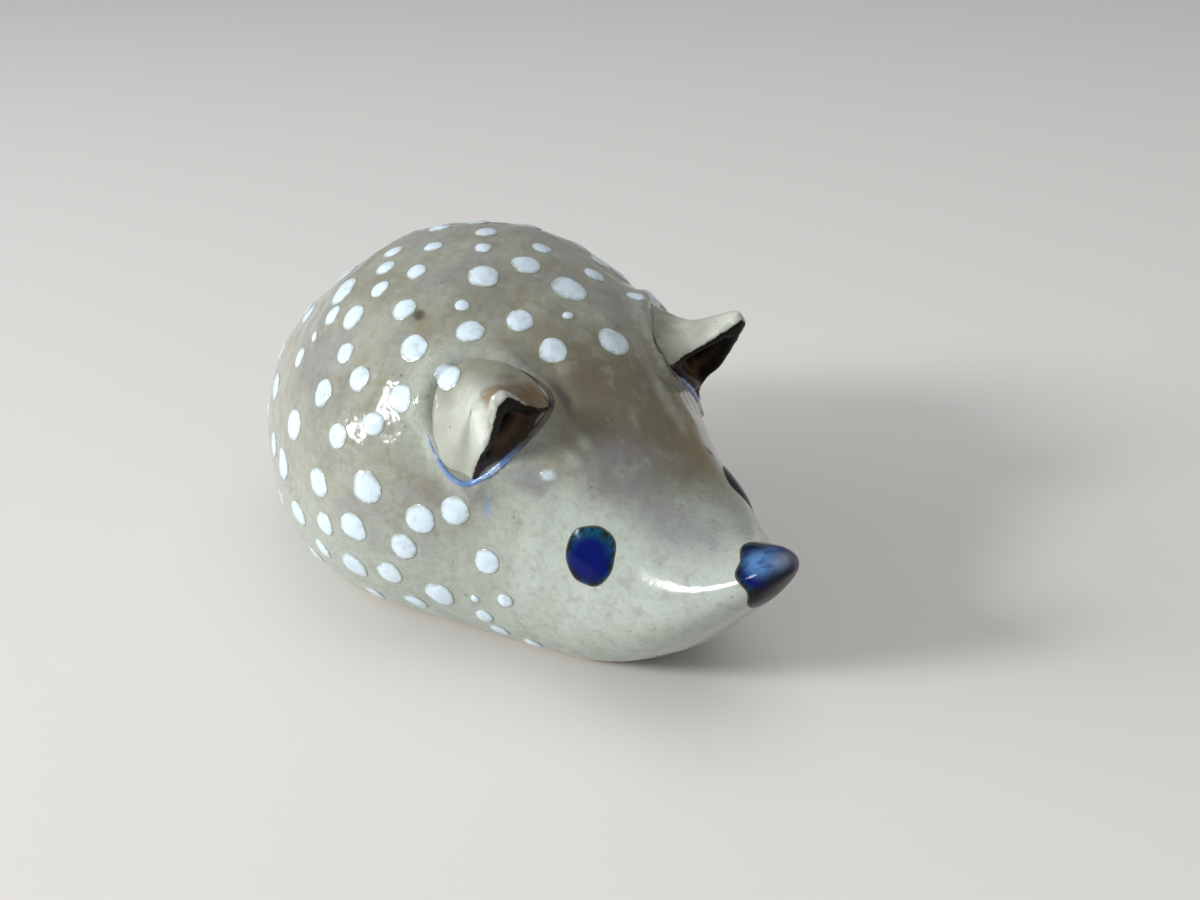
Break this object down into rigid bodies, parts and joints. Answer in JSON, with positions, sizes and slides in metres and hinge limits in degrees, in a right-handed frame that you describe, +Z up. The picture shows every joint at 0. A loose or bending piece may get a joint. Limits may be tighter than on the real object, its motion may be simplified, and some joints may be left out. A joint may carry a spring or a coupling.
{
  "type": "hedgehog figurine",
  "caption": "Small glazed pottery hedgehog with a rounded back, upturned snout, scooped ears, raised slip dots and a flat foot to stand on.",
  "frame": {"origin": "on the flat foot, below the middle of the figurine", "axes": "+X where the snout points, +Y to the hedgehog's own left, +Z up"},
  "size_m": [0.056, 0.0342, 0.029],
  "materials": {
    "body_glaze": "gloss",
    "ear_slip": "gloss",
    "pooled_glaze": "gloss",
    "cobalt_slip": "gloss",
    "white_slip": "gloss"
  },
  "bodies": {
    "root": {"body_shell": "body_glaze", "left_ear": "body_glaze", "right_ear": "body_glaze", "left_ear_lining": "ear_slip", "right_ear_lining": "ear_slip", "left_ear_glaze_pool": "pooled_glaze", "right_ear_glaze_pool": "pooled_glaze", "left_eye": "cobalt_slip", "right_eye": "cobalt_slip", "nose_tip": "cobalt_slip", "crown_slip_dots": "white_slip", "shoulder_slip_dots": "white_slip", "right_flank_slip_dots": "white_slip", "right_hem_slip_dots": "white_slip", "left_flank_slip_dots": "white_slip", "left_hem_slip_dots": "white_slip", "rump_slip_dots": "white_slip"}
  },
  "joints": []
}
